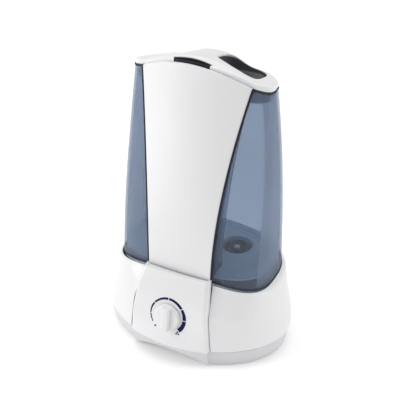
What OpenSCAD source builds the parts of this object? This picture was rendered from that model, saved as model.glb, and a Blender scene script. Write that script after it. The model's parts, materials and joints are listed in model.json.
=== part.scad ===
// Table-top ultrasonic cool mist humidifier: a white base with one dial, a lift-off translucent tank
// with a white front fascia, and a saddle-shaped cap with a mist slot and a hand recess.
// Millimetres, +Z up, front towards -Y, origin on the ground under the middle of the base.

/* [Base] */
// Half width of the base at its bottom seam
base_half_w = 111; // [108:0.5:113]
// Half depth of the base at its bottom seam
base_half_d = 80; // [78:0.5:82]
// Height of the seam between base housing and bottom cover
seam_z = 24; // [23:0.5:25]
// Wall of every outer plastic shell
wall = 2.4; // [2:0.1:2.6]
// Half width of the front arch between the feet
arch_half_w = 46; // [42:1:48]
// Height of the arches in the bottom cover
arch_h = 17; // [14:0.5:17]

/* [Front panel] */
// Half width of the control panel at its foot
panel_foot_w = 47; // [45:0.5:48]
// Half width of the control panel at its top
panel_top_w = 36; // [34:0.5:37]
// Height of the control panel's top edge
panel_top_z = 104; // [102:0.5:105]

/* [Dial] */
// Height of the dial's centre
dial_z = 60; // [58:0.5:62]
// Angle the dial face leans back
dial_tilt = 10.4; // [9:0.2:12]
// Outer radius of the printed scale
scale_r = 21.9; // [21:0.1:22.5]
// Radius of the knob
knob_r = 15.5; // [14:0.1:16]
// Height of the knob's grip ridge above the panel
knob_h = 9.8; // [8:0.2:12]

/* [Tank] */
// Height of the tank's lower edge at its middle
rim_z = 101; // [100:0.5:102]
// How far the lower edge drops at the sides
rim_dip = 15; // [13:0.5:16]
// Half width of the tank at its lower edge
tank_foot_w = 89.8; // [89:0.1:91]
// Half width of the tank at its upper edge
tank_head_w = 78.3; // [77:0.1:79]
// Height of the tank's upper edge at its middle
head_z = 327; // [325:0.5:328]
// Height of the crest of the cap
crest_z = 341; // [339:0.5:343]
// Height of the tank floor
floor_z = 103; // [102:0.5:104]

/* [Top openings] */
// Half width of the hand recess
recess_half_w = 24.5; // [22:0.5:25]
// Half depth of the hand recess from front to back
recess_half_d = 19.5; // [18:0.5:20]
// Depth of the hand recess below the crest
recess_depth = 35; // [32:0.5:35.5]
// Width of the mist slot
slot_w = 42; // [36:0.5:43]

/* [Hidden] */

ring_n = 48;            // points round a full outline
row_n = 9;              // rows up a lofted shell
front_x = 17;           // columns across the fascia and the panel
head_dip = 14;          // drop of the tank's upper edge at the sides
basin_z = 62;           // underside of the water basin
plate_z = 20.8;         // underside of the bottom cover's plate
plate_t = 2.6;
centre_y = 3.2;         // shift that puts the origin under the middle of the whole object
cap_x = 38;             // tank cap and its valve
cap_y = 20;
fan_x = -50;            // fan and its duct into the basin
fan_y = 12;
mist_y = -33;           // transducer under the mist channel
float_x = -12;
float_y = 40;
dial_y = -75.3;
boss_xy = [for (sx = [-1, 1], sy = [-1, 1]) [sx * 82, sy * 35]];
basin_screw_xy = [[-70, 40], [70, 40], [-70, -22], [70, -22]];
foot_xy = [for (sx = [-1, 1], sy = [-1, 1]) [sx * 66, sy * 42]];
board_xy = [42, -8];
board_size = [66, 44, 1.6];
transformer_xy = [38, 42];
fan_size = 50;
white = [0.93, 0.93, 0.94];
off_white = [0.88, 0.88, 0.89];
tank_blue = [0.35, 0.43, 0.58, 0.55];
navy = [0.07, 0.06, 0.24];
charcoal = [0.16, 0.17, 0.19];

// ---- outlines ----
function spow(v, p) = sign(v) * pow(abs(v), p);
function mix(a, b, t) = a + (b - a) * t;
function clamp01(v) = max(0, min(1, v));
function smooth(v) = let (t = clamp01(v)) t * t * (3 - 2 * t);

// One point of a rounded outline: half width a, front y, back y, squareness n, angle
function oval(a, front, back, n, angle) =
    [a * spow(cos(angle), 2 / n),
     (front + back) / 2 + (back - front) / 2 * spow(sin(angle), 2 / n)];
function oval_outline(a, front, back, n, count = ring_n) =
    [for (i = [0:count - 1]) oval(a, front, back, n, 360 * (i + 0.5) / count)];
// Outline lifted to height z, with its sides dropped by dip
function oval_ring(a, front, back, n, z, dip) =
    [for (p = oval_outline(a, front, back, n)) [p.x, p.y, z - dip * pow(p.x / a, 2)]];

// ---- skin: a closed solid through rings of equal length ----
function ring_faces(n, low, high) =
    [for (i = [0:n - 1]) let (k = (i + 1) % n)
        each [[low + i, high + i, high + k], [low + i, high + k, low + k]]];
module skin_loop(rings) {
    n = len(rings[0]);
    m = len(rings);
    polyhedron([for (r = rings) each r],
        [for (j = [0:m - 1]) each ring_faces(n, j * n, ((j + 1) % m) * n)]);
}
module skin_solid(rings) {
    n = len(rings[0]);
    m = len(rings);
    points = concat([for (r = rings) each r], [centre_of(rings[0]), centre_of(rings[m - 1])]);
    polyhedron(points,
        concat([for (j = [0:m - 2]) each ring_faces(n, j * n, (j + 1) * n)],
            [for (i = [0:n - 1]) [n * m, i, (i + 1) % n]],
            [for (i = [0:n - 1]) [n * m + 1, (m - 1) * n + (i + 1) % n, (m - 1) * n + i]]));
}
function total(list, i = 0) = i == len(list) ? [0, 0, 0] : list[i] + total(list, i + 1);
function centre_of(ring) = total(ring) / len(ring);

// ---- base ----
// Rows of the base shell: height, side drop, half width, front, back, squareness
base_rows = [
    [seam_z, 0, base_half_w, -base_half_d, base_half_d + 1, 1.95],
    [36, 1, base_half_w - 1, -base_half_d + 0.5, base_half_d + 2, 2.0],
    [50, 4, base_half_w - 4.5, -base_half_d + 2.5, base_half_d + 2, 2.1],
    [66, 8, base_half_w - 8.5, -base_half_d + 5, base_half_d + 1, 2.2],
    [82, 12, base_half_w - 12, -base_half_d + 14, base_half_d - 2, 2.4],
    [94, 14, base_half_w - 14.5, -base_half_d + 22.5, base_half_d - 8, 2.6],
    [99, 15, base_half_w - 16.6, -base_half_d + 27.5, base_half_d - 11, 2.95],
    [rim_z + 0.6, rim_dip, tank_foot_w + 1.9, -51.6, 66.2, 3]];
function base_ring(row, inset) =
    oval_ring(row[2] - inset, row[3] + inset, row[4] - inset, row[5], row[0], row[1]);
module base_solid(inset) {
    skin_solid([for (row = base_rows) base_ring(row, inset)]);
}
// Half width of the control panel at height z
function panel_w(z) = let (t = clamp01((panel_top_z - z) / (panel_top_z - seam_z)))
    mix(panel_top_w, panel_foot_w, pow(t, 0.62));
// How far the panel's edges fall back behind its middle at height z
function panel_curve(z) = mix(7.5, 1.2, smooth((z - seam_z) / 34));
// Middle line of the panel's face as [y, z], from its foot up and over its top edge
panel_line = [[-82.6, seam_z + 0.3], [-82, 29], [-80.6, 35], [-78.2, 46], [-75.3, 60], [-72.6, 73],
    [-69.6, 82], [-65.4, 91], [-60.6, 99], [-57.6, panel_top_z - 1], [-55.6, panel_top_z],
    [-52.8, panel_top_z - 0.3], [-50.6, panel_top_z - 1.2]];
function panel_inward(i) = let (m = len(panel_line) - 1,
        d = panel_line[min(i + 1, m)] - panel_line[max(i - 1, 0)])
    [d.y, -d.x] / norm(d);
panel_lip = 3;
module panel_prism(grow) {
    zs = [for (i = [0:8]) mix(seam_z - 1, panel_top_z + 6, i / 8)];
    translate([0, -45, 0]) rotate([90, 0, 0]) linear_extrude(60)
        polygon(concat([for (z = zs) [panel_w(z) + grow, z]],
            [for (i = [8:-1:0]) [-panel_w(zs[i]) - grow, zs[i]]]));
}
module base_bosses() {
    for (p = boss_xy) {
        translate([p.x, p.y, seam_z]) cylinder(r = 5, h = 16, $fn = 48);
        translate([p.x, p.y - 1.2, seam_z + 1]) cube_to(sign(p.x) * 24, 2.4, 14);
    }
    for (p = basin_screw_xy) translate([p.x - sign(p.x) * 6, p.y - 5, tab_z])
        cube_to(sign(p.x) * 44, 10, tab_t);
}
tab_t = 2.5;
tab_z = basin_z - 8 - tab_t;
module cube_to(dx, dy, dz) {
    translate([min(dx, 0), 0, 0]) cube([abs(dx), dy, dz]);
}
module base_housing() {
    color(white) difference() {
        union() {
            skin_loop(concat([for (row = base_rows) base_ring(row, 0)],
                [for (i = [len(base_rows) - 1:-1:0])
                    base_ring(base_rows[i], i == len(base_rows) - 1 ? 1.5 : wall)]));
            intersection() {
                base_bosses();
                base_solid(1.2);
            }
        }
        panel_prism(panel_lip + 0.3);
        for (p = boss_xy) translate([p.x, p.y, seam_z - 1]) cylinder(r = 1.3, h = 14, $fn = 32);
        for (p = basin_screw_xy) translate([p.x, p.y, tab_z - 1]) cylinder(r = 1.5, h = 5, $fn = 24);
        translate([48, 60, 38]) rotate([-90, 0, 0]) cylinder(r = 6, h = 40, $fn = 48);
    }
}
// Row i of the panel's face, pushed inwards by t
function panel_row(i, t) =
    let (p = panel_line[i] + t * panel_inward(i), z = panel_line[i].y, w = panel_w(z),
        c = panel_curve(z), side = max(p.x + c, min(p.x + c + 6, -50)))
    concat([[-w - panel_lip + t, side, p.y]],
        [for (k = [0:front_x - 1]) let (u = mix(-1, 1, k / (front_x - 1)))
            [u * (w - t * 0.4), p.x + c * u * u, p.y]],
        [[w + panel_lip - t, side, p.y]]);
module sheet_solid(front_rows, back_rows) {
    // Closed solid between two grids of points, front facing -Y
    m = len(front_rows);
    n = len(front_rows[0]);
    points = concat([for (r = front_rows) each r], [for (r = back_rows) each r]);
    b = m * n;
    cells = [for (j = [0:m - 2], i = [0:n - 2]) [j * n + i, j * n + i + 1]];
    polyhedron(points, concat(
        [for (q = cells) each [[q[0], q[0] + n, q[1] + n], [q[0], q[1] + n, q[1]]]],
        [for (q = cells) each [[b + q[0], b + q[1] + n, b + q[0] + n], [b + q[0], b + q[1], b + q[1] + n]]],
        [for (i = [0:n - 2]) each [[i, i + 1, b + i + 1], [i, b + i + 1, b + i]]],
        [for (i = [0:n - 2]) let (k = (m - 1) * n + i)
            each [[k, b + k + 1, k + 1], [k, b + k, b + k + 1]]],
        [for (j = [0:m - 2]) let (k = j * n)
            each [[k, b + k, b + k + n], [k, b + k + n, k + n]]],
        [for (j = [0:m - 2]) let (k = j * n + n - 1)
            each [[k, b + k + n, b + k], [k, k + n, b + k + n]]]));
}
module at_dial() {
    // Local frame with +Z out of the dial face
    translate([0, dial_y, dial_z]) rotate([90 - dial_tilt, 0, 0]) children();
}
module front_panel() {
    color(white) difference() {
        union() {
            sheet_solid([for (i = [0:len(panel_line) - 1]) panel_row(i, 0)],
                [for (i = [0:len(panel_line) - 1]) panel_row(i, wall)]);
            for (sx = [-1, 1], sy = [-1, 1]) at_dial()
                translate([sx * 24, sy * 15, -13]) cylinder(r = 2.6, h = 11.5, $fn = 32);
        }
        at_dial() translate([0, 0, -20]) cylinder(r = 4.4, h = 40, $fn = 48);
        at_dial() scale_shape(0.1);
        for (sx = [-1, 1], sy = [-1, 1]) at_dial()
            translate([sx * 24, sy * 15, -14]) cylinder(r = 1, h = 9, $fn = 24);
    }
}

// ---- dial ----
// Band segments of the printed scale: start angle, end angle, start width, end width
scale_band = [[214, 187, 0.9, 1.3], [184, 147, 1.3, 1.9], [144, 95, 1.9, 2.4],
    [92, 42, 2.4, 3.2], [39, 2, 3.2, 4.2], [-1, -44, 4.2, 5]];
module band(from, to, w0, w1) {
    steps = 8;
    angles = [for (i = [0:steps]) mix(from, to, i / steps)];
    polygon(concat(
        [for (a = angles) scale_r * [cos(a), sin(a)]],
        [for (i = [steps:-1:0]) (scale_r - mix(w0, w1, i / steps)) * [cos(angles[i]), sin(angles[i])]]));
}
module scale_shape(grow) {
    translate([0, 0, -1.1 - grow]) linear_extrude(3) {
        for (s = scale_band) band(s[0], s[1], s[2], s[3]);
        translate([-14.6, -16.2]) circle(r = 1.1, $fn = 24);
        for (k = [0:2]) translate([13, -17.2]) rotate(90 + 120 * k) translate([1.5, 0])
            circle(r = 1, $fn = 24);
    }
}
module dial_scale() {
    color(navy) at_dial() intersection() {
        scale_shape(0);
        translate([0, 0, -2]) cylinder(r = 30, h = 2.4, $fn = 64);
    }
}
module dial_knob() {
    color(white) at_dial() {
        difference() {
            union() {
                translate([0, 0, 0.8]) cylinder(r1 = knob_r, r2 = knob_r - 1.4, h = 4.2, $fn = 96);
                intersection() {
                    translate([-4.6, -knob_r, 0.8]) cube([9.2, 2 * knob_r, knob_h]);
                    translate([0, 0, -10]) cylinder(r = knob_r - 0.7, h = 40, $fn = 96);
                }
                translate([0, 0, -8]) cylinder(r = 3, h = 9, $fn = 48);
            }
            difference() {
                translate([0, 0, 0]) cylinder(r = 7.5, h = 3.4, $fn = 64);
                cylinder(r = 3, h = 4, $fn = 48);
            }
        }
    }
}
module potentiometer() {
    color("silver") at_dial() difference() {
        union() {
            translate([-8.5, -8.5, -13.2]) cube([17, 17, 7]);
            translate([0, 0, -6.4]) cylinder(r = 4.2, h = 8.9, $fn = 48);
        }
        translate([0, 0, -9]) cylinder(r = 3.05, h = 12, $fn = 48);
    }
}
module potentiometer_nut() {
    color("gold") at_dial() translate([0, 0, 0.2]) difference() {
        cylinder(r = 6.2, h = 2, $fn = 6);
        translate([0, 0, -1]) cylinder(r = 4.25, h = 4, $fn = 48);
    }
}
module control_board() {
    color("darkgreen") at_dial() difference() {
        translate([-32, -20, -15]) cube([64, 40, 1.6]);
        for (sx = [-1, 1], sy = [-1, 1])
            translate([sx * 24, sy * 15, -16]) cylinder(r = 1.3, h = 4, $fn = 24);
    }
}
module screw(head_r, head_h, shaft_r, shaft_l) {
    // Head from z = 0 down, shaft upwards
    difference() {
        translate([0, 0, -head_h]) cylinder(r = head_r, h = head_h, $fn = 32);
        translate([0, 0, -head_h - 0.1]) cylinder(r = head_r * 0.45, h = head_h * 0.6, $fn = 6);
    }
    translate([0, 0, -0.05]) cylinder(r = shaft_r, h = shaft_l, $fn = 24);
}
module panel_screws() {
    color("silver") for (sx = [-1, 1], sy = [-1, 1])
        at_dial() translate([sx * 24, sy * 15, -15.1]) screw(2.2, 1.4, 0.95, 7);
}

// ---- bottom ----
cover_rows = [[1.4, base_half_w - 6, base_half_d - 7], [12, base_half_w - 3, base_half_d - 3.6],
    [seam_z - 0.5, base_half_w - 1.2, base_half_d - 1.4]];
// Proud block of the cover under the control panel
function cover_block(k, t) = [for (i = [0:front_x - 1]) let (u = mix(-1, 1, i / (front_x - 1)))
    [u * mix(arch_half_w, panel_foot_w - 0.4, k / 2),
        mix(-72.8, -81.4, k / 2) + mix(3.6, 7, k / 2) * u * u + t, cover_rows[k][0]]];
module arch_cut(side) {
    r = (arch_half_w * arch_half_w + arch_h * arch_h) / (2 * arch_h);
    translate([0, side * 70, arch_h - r]) rotate([90, 0, 0])
        cylinder(r = r, h = 70, center = true, $fn = 180);
}
module bottom_cover() {
    color(off_white) difference() {
        union() {
            skin_loop(concat([for (r = cover_rows) oval_ring(r[1], -r[2], r[2] + 1, 2.0, r[0], 0)],
                [for (i = [2:-1:0]) let (r = cover_rows[i])
                    oval_ring(r[1] - wall, -r[2] + wall, r[2] + 1 - wall, 2.0, r[0], 0)]));
            sheet_solid([for (k = [0:2]) cover_block(k, 0)], [for (k = [0:2]) cover_block(k, 6)]);
            translate([0, 0, plate_z]) linear_extrude(plate_t)
                polygon(oval_outline(base_half_w - 3, -base_half_d + 3.4, base_half_d - 2.6, 2.0));
            for (p = foot_xy) translate([p.x, p.y, 1.4]) cylinder(r = 9.6, h = plate_z - 1, $fn = 48);
            for (p = corners(board_xy, [58, 36])) translate([p.x, p.y, plate_z]) post(3, 8);
            for (p = fan_corners()) translate([p.x, p.y, plate_z]) post(3.4, 12);
            for (s = [-1, 1]) translate([transformer_xy.x + s * 29, transformer_xy.y, plate_z]) post(4, 6);
        }
        arch_cut(-1);
        arch_cut(1);
        for (p = foot_xy) translate([p.x, p.y, 0]) cylinder(r = 8.1, h = 3, $fn = 48);
        for (p = boss_xy) translate([p.x, p.y, plate_z - 1]) cylinder(r = 1.9, h = 8, $fn = 32);
        for (i = [-4:4]) translate([fan_x - 20, fan_y + i * 4.6 - 1.2, plate_z - 1])
            cube([40, 2.4, plate_t + 2]);
        for (p = concat(corners(board_xy, [58, 36]), fan_corners()))
            translate([p.x, p.y, plate_z + 1]) cylinder(r = 1.2, h = 20, $fn = 24);
        for (s = [-1, 1]) translate([transformer_xy.x + s * 29, transformer_xy.y, plate_z + 1])
            cylinder(r = 1.4, h = 20, $fn = 24);
    }
}
module post(r, h) {
    cylinder(r = r, h = plate_t + h, $fn = 32);
}
function corners(c, size) =
    [for (sx = [-1, 1], sy = [-1, 1]) [c.x + sx * size.x / 2, c.y + sy * size.y / 2]];
function fan_corners() = corners([fan_x, fan_y], [fan_size - 10, fan_size - 10]);
module feet() {
    color(charcoal) for (p = foot_xy) translate([p.x, p.y, 0]) cylinder(r = 7.8, h = 3, $fn = 64);
}
module base_screws() {
    color("silver") for (p = boss_xy) translate([p.x, p.y, plate_z]) screw(3.6, 2.2, 1.2, 14);
}
module cord_gland() {
    color(charcoal) translate([48, 0, 38]) rotate([-90, 0, 0]) difference() {
        union() {
            translate([0, 0, 64]) cylinder(r = 8.5, h = 2, $fn = 48);
            translate([0, 0, 65]) cylinder(r = 5.9, h = 10.6, $fn = 48);
        }
        translate([0, 0, 60]) cylinder(r = 3.2, h = 20, $fn = 48);
    }
}

// ---- basin and mist maker ----
basin_rows = [[basin_z, 0, 86.6, -45.5, 61, 2.8], [78, 6, 88, -46.5, 63, 2.8],
    [rim_z - 0.4, rim_dip, 89.4, -48.6, 64, 2.8]];
basin_floor = basin_z + 3;
module water_basin() {
    color(white) difference() {
        union() {
            skin_loop(concat([for (r = basin_rows) base_ring(r, 0)],
                [for (i = [2:-1:0]) base_ring(basin_rows[i], 3)]));
            translate([0, 0, basin_z]) linear_extrude(3) polygon(oval_outline(84.6, -43.5, 59, 2.8));
            translate([0, mist_y, basin_z - 9]) cylinder(r = 20.5, h = 10, $fn = 64);
            translate([-38, -17, basin_z + 1]) cube([76, 2.4, 26]);
            translate([fan_x, fan_y, fan_z + 14.5]) cylinder(r = 24.6, h = basin_z - fan_z - 13, $fn = 64);
            translate([fan_x, fan_y, basin_z]) cylinder(r = 16, h = 22, $fn = 64);
            for (p = basin_screw_xy) translate([p.x, p.y, basin_z - 8]) cylinder(r = 4, h = 9, $fn = 32);
        }
        translate([0, mist_y, basin_z - 5]) cylinder(r = 11, h = 20, $fn = 64);
        translate([0, mist_y, basin_z - 7]) cylinder(r = 13, h = 4.4, $fn = 64);
        translate([0, mist_y, basin_z - 10]) cylinder(r = 14.6, h = 5, $fn = 64);
        for (s = [-1, 1]) translate([s * 17.4, mist_y, basin_z - 10]) cylinder(r = 1.25, h = 6, $fn = 24);
        translate([fan_x, fan_y, fan_z]) cylinder(r = 22.8, h = basin_z - fan_z - 2, $fn = 64);
        translate([fan_x, fan_y, fan_z]) cylinder(r = 14, h = 60, $fn = 64);
        translate([cap_x, cap_y, basin_z + 1]) cylinder(r = 2.6, h = 3, $fn = 32);
        translate([float_x, float_y, basin_z + 1]) cylinder(r = 2.1, h = 3, $fn = 32);
        for (p = basin_screw_xy) translate([p.x, p.y, basin_z - 9]) cylinder(r = 1.2, h = 8.5, $fn = 24);
        translate([-30, -18, basin_floor]) cube([12, 6, 7]);
    }
}
module basin_screws() {
    color("silver") for (p = basin_screw_xy) translate([p.x, p.y, tab_z])
        screw(3, 2, 1.15, 9);
}
module transducer_disc() {
    color("goldenrod") translate([0, mist_y, basin_z - 5.2]) cylinder(r = 10, h = 1, $fn = 64);
}
module transducer_seal() {
    color(charcoal) translate([0, mist_y, basin_z - 5.7]) difference() {
        cylinder(r = 12.8, h = 2.8, $fn = 64);
        translate([0, 0, 0.4]) cylinder(r = 10.1, h = 1.2, $fn = 64);
        translate([0, 0, -1]) cylinder(r = 8.6, h = 5, $fn = 64);
    }
}
module transducer_retainer() {
    color("lightgray") translate([0, mist_y, basin_z - 12]) difference() {
        union() {
            cylinder(r = 20, h = 2.6, $fn = 64);
            cylinder(r = 14.3, h = 5.6, $fn = 64);
        }
        translate([0, 0, -1]) cylinder(r = 8, h = 8, $fn = 64);
        for (s = [-1, 1]) translate([s * 17.4, 0, -1]) cylinder(r = 1.5, h = 5, $fn = 24);
    }
}
module transducer_screws() {
    color("silver") for (s = [-1, 1]) translate([s * 17.4, mist_y, basin_z - 12]) screw(2.4, 1.6, 1.2, 4);
}
module valve_post() {
    color(white) translate([cap_x, cap_y, basin_z + 1]) {
        cylinder(r = 2.5, h = 21.2, $fn = 48);
        for (a = [0, 90]) rotate(a) translate([-5, -0.8, 2.1]) cube([10, 1.6, 8]);
    }
}
module float_post() {
    color(white) translate([float_x, float_y, basin_z + 1]) cylinder(r = 2, h = 27, $fn = 48);
}
module float_clip() {
    color(charcoal) translate([float_x, float_y, basin_z + 25.2]) difference() {
        cylinder(r = 4.5, h = 1.6, $fn = 48);
        translate([0, 0, -1]) cylinder(r = 2.02, h = 4, $fn = 48);
    }
}
module float() {
    color("khaki") translate([float_x, float_y, basin_floor + 0.4]) difference() {
        cylinder(r = 10.5, h = 9, $fn = 64);
        translate([0, 0, -1]) cylinder(r = 2.06, h = 12, $fn = 48);
        translate([0, 0, -1]) difference() {
            cylinder(r = 6.1, h = 3.6, $fn = 48);
            translate([0, 0, -1]) cylinder(r = 3.4, h = 6, $fn = 48);
        }
    }
}
module float_magnet() {
    color("dimgray") translate([float_x, float_y, basin_floor + 0.5]) difference() {
        cylinder(r = 6, h = 2.4, $fn = 48);
        translate([0, 0, -1]) cylinder(r = 3.5, h = 6, $fn = 48);
    }
}
module reed_switch() {
    color("darkgreen") translate([float_x, float_y, basin_z - 2.2]) difference() {
        translate([-9, -6, 0]) cube([18, 12, 1.4]);
        for (s = [-1, 1]) translate([s * 6.5, 0, -1]) cylinder(r = 1, h = 4, $fn = 24);
    }
    color("lightblue") translate([float_x - 6, float_y + 3, basin_z - 3.4]) rotate([0, 90, 0])
        cylinder(r = 1.2, h = 12, $fn = 24);
}

// ---- fan ----
fan_z = plate_z + plate_t + 12;
module fan_frame() {
    color(charcoal) translate([fan_x, fan_y, fan_z]) difference() {
        translate([-fan_size / 2, -fan_size / 2, 0]) cube([fan_size, fan_size, 14]);
        translate([0, 0, -1]) cylinder(r = 23.4, h = 16, $fn = 96);
        for (p = corners([0, 0], [fan_size - 10, fan_size - 10]))
            translate([p.x, p.y, -1]) cylinder(r = 1.8, h = 16, $fn = 24);
    }
    color(charcoal) translate([fan_x, fan_y, fan_z]) for (a = [45, 135, 225, 315])
        rotate(a) translate([9.8, -1, 0]) cube([14.2, 2, 1.8]);
}
module fan_stator() {
    color("peru") translate([fan_x, fan_y, fan_z]) difference() {
        union() {
            cylinder(r = 9.7, h = 1.8, $fn = 64);
            cylinder(r = 4, h = 8, $fn = 48);
            for (a = [0:90:270]) rotate(a) translate([0, -2.2, 3]) cube([6.6, 4.4, 4.6]);
        }
        translate([0, 0, 0.8]) cylinder(r = 1.54, h = 12, $fn = 48);
    }
}
module fan_rotor() {
    color([0.25, 0.26, 0.28]) translate([fan_x, fan_y, fan_z]) {
        difference() {
            translate([0, 0, 2.3]) cylinder(r = 9.5, h = 10.4, $fn = 64);
            translate([0, 0, 1]) cylinder(r = 7.6, h = 10, $fn = 64);
        }
        translate([0, 0, 1.2]) cylinder(r = 1.5, h = 11, $fn = 48);
        for (k = [0:6]) rotate(k * 360 / 7) translate([9.2, 0, 7.4]) rotate([35, 0, 0])
            translate([0, -4.6, -0.6]) cube([13, 9.2, 1.2]);
    }
}
module fan_screws() {
    color("silver") for (p = fan_corners()) translate([p.x, p.y, fan_z + 14]) mirror([0, 0, 1])
        screw(3, 1.6, 1.1, 24);
}
module air_filter() {
    color("gray") translate([fan_x - 16, fan_y - 16, plate_z + plate_t + 0.2]) cube([32, 32, 7]);
}

// ---- electronics ----
module transformer() {
    color("dimgray") translate([transformer_xy.x, transformer_xy.y, plate_z + plate_t + 6]) {
        translate([-34, -6, 0]) difference() {
            cube([68, 12, 1.2]);
            for (s = [5, 63]) translate([s, 6, -1]) cylinder(r = 1.8, h = 4, $fn = 24);
        }
        difference() {
            translate([-21, -9, 1.1]) cube([42, 18, 29]);
            for (s = [-1, 1]) translate([s * 11 - 4, -10, 7]) cube([8, 20, 17]);
        }
    }
    color("peru") translate([transformer_xy.x, transformer_xy.y, plate_z + plate_t + 13.3])
        difference() {
            translate([-14.8, -15, 0]) cube([29.6, 30, 16.4]);
            translate([-7.1, -9.1, -1]) cube([14.2, 18.2, 20]);
            for (s = [-1, 1]) translate([s * 18.1 - 3.1, -9.1, -1]) cube([6.2, 18.2, 20]);
        }
}
module transformer_screws() {
    color("silver") for (s = [-1, 1])
        translate([transformer_xy.x + s * 29, transformer_xy.y, plate_z + plate_t + 7.2])
        mirror([0, 0, 1]) screw(3, 1.8, 1.3, 7);
}
board_z = plate_z + plate_t + 8;
module driver_board() {
    color("darkgreen") translate([board_xy.x, board_xy.y, board_z]) difference() {
        translate([-board_size.x / 2, -board_size.y / 2, 0]) cube(board_size);
        for (p = corners([0, 0], [58, 36])) translate([p.x, p.y, -1]) cylinder(r = 1.5, h = 4, $fn = 24);
    }
}
module heat_sink() {
    color("silver") translate([board_xy.x - 22, board_xy.y - 12, board_z + 1.6]) {
        cube([20, 24, 2]);
        for (i = [0:5]) translate([i * 3.7, 0, 1.5]) cube([1.5, 24, 11.5]);
    }
}
module capacitors() {
    color("navy") for (p = [[6, -8], [20, -10], [8, 9]])
        translate([board_xy.x + p.x, board_xy.y + p.y, board_z + 1.6]) difference() {
            cylinder(r = 5, h = 14, $fn = 48);
            translate([-4, -0.4, 13.6]) cube([8, 0.8, 1]);
            translate([-0.4, -4, 13.6]) cube([0.8, 8, 1]);
        }
}
module board_screws() {
    color("silver") for (p = corners(board_xy, [58, 36]))
        translate([p.x, p.y, board_z + 1.6]) mirror([0, 0, 1]) screw(2.6, 1.5, 1.1, 8);
}

// ---- tank ----
// Section of the tank at level t, from 0 at its lower edge to 1 at its upper edge
function tank_a(t) = mix(tank_foot_w, tank_head_w, t) + 1.6 * sin(180 * t);
function tank_front(t) = -46.8 + 38.9 * pow(t, 1.62);
function tank_back(t) = tank_back_y - 7 * pow(t, 2);
// Widest line of the section, which moves forward with height
function tank_mid(t) = (tank_front(t) + tank_back_y - 24 * pow(t, 3)) / 2;
// How much the section narrows behind its widest line
function tank_taper(t) = 0.0062 * (24 * pow(t, 3) - 7 * pow(t, 2));
function tank_point(t, off, angle) =
    let (v = spow(sin(angle), 2 / tank_n), mid = tank_mid(t))
    [(tank_a(t) - off) * spow(cos(angle), 2 / tank_n) * (1 - tank_taper(t) * max(0, v)),
        mid + v * (v < 0 ? mid - tank_front(t) - off : tank_back(t) - mid - off)];
function tank_dip(t) = mix(rim_dip, head_dip, t);
function tank_z(t) = mix(rim_z, head_z, t);
tank_n = 3;
tank_back_y = 64;
// Front fascia: half width, edge y, and bulge of its middle
function fascia_w(t) = 37.4 + 23.6 * pow(t, 1.8);
function channel_y(t) = mix(-20, -4.5, t);
function back_slope(y, t) = t * 0.5 * max(0, y - 20);
function tank_outline(t, off) =
    let (w = fascia_w(t) - 2.5 + off, arcs = 46, yc = channel_y(t) + off)
    concat(tank_arc(t, off, w, arcs), [for (i = [0:6]) [mix(-w, w, i / 6), yc]]);
// Sides and back of the section, from x = w round to x = -w
function tank_arc(t, off, w, arcs) =
    let (f = acos(pow(w / (tank_a(t) - off), tank_n / 2)))
    [for (i = [0:arcs]) tank_point(t, off, mix(-f, 180 + f, i / arcs))];
function on_tank(p, t) =
    [p.x, p.y, tank_z(t) - tank_dip(t) * pow(p.x / tank_a(t), 2) - back_slope(p.y, t)];
function tank_ring(t, off) = [for (p = tank_outline(t, off)) on_tank(p, t)];
tank_ts = [for (i = [0:row_n]) i / row_n];
module tank_body() {
    color(tank_blue) skin_loop(concat([for (t = tank_ts) tank_ring(t, 0)],
        [for (i = [row_n:-1:0]) tank_ring(tank_ts[i], wall)]));
}
// Raised rings of the tank's floor: half width, back, thickness, height
floor_rings = [[82, 59, 2.6, 3], [76, 53, 1.4, 1.6]];
module tank_floor() {
    color(tank_blue) difference() {
        union() {
            translate([0, 0, floor_z]) linear_extrude(2.4) polygon(tank_outline(0.03, wall + 1));
            for (r = floor_rings) translate([0, 0, floor_z + 2]) linear_extrude(r[3]) difference() {
                polygon(oval_outline(r[0], -46, r[1], 2.2));
                polygon(oval_outline(r[0] - r[2], -46 + r[2], r[1] - r[2], 2.2));
                translate([-60, -60]) square([120, 46]);
            }
            translate([cap_x, cap_y, 90]) cylinder(r = 20, h = 17, $fn = 96);
            translate([cap_x, cap_y, floor_z + 2]) cylinder(r1 = 28, r2 = 20, h = 2, $fn = 96);
        }
        translate([cap_x, cap_y, 80]) cylinder(r = 17.2, h = 40, $fn = 96);
    }
}
roof_z = 302;
module tank_roof() {
    color(tank_blue) translate([0, 0, roof_z]) linear_extrude(2.4)
        polygon(tank_outline(0.95, wall + 0.9));
}

// ---- fascia ----
function fascia_edge_y(t) = tank_front_at(t) - 2.5;
function tank_front_at(t) = let (r = fascia_w(t) / tank_a(t))
    tank_front(t) + (tank_mid(t) - tank_front(t)) * (1 - pow(1 - pow(r, tank_n), 1 / tank_n));
function bulge(t) = 1 + 13 * pow(sin(90 * t), 1.4);
fascia_top = 338;
fascia_drop = 19.5;
// Point of the fascia's face: u from -1 to 1 across, t from 0 to 1 up, pushed back by off
function fascia_point(u, t, off) =
    [u * fascia_w(t), fascia_edge_y(t) - bulge(t) * (1 - u * u) + off,
     mix(rim_z + 0.3, fascia_top, t) - u * u * mix(0, fascia_drop, t)];
function fascia_row(t, off) =
    [for (i = [0:front_x - 1]) fascia_point(mix(-1, 1, i / (front_x - 1)), t, off)];
fascia_ts = [for (i = [0:12]) i / 12];
module front_fascia() {
    color(white) sheet_solid([for (t = fascia_ts) fascia_row(t, 0)],
        [for (t = fascia_ts) fascia_row(t, 2.2)]);
}
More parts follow.
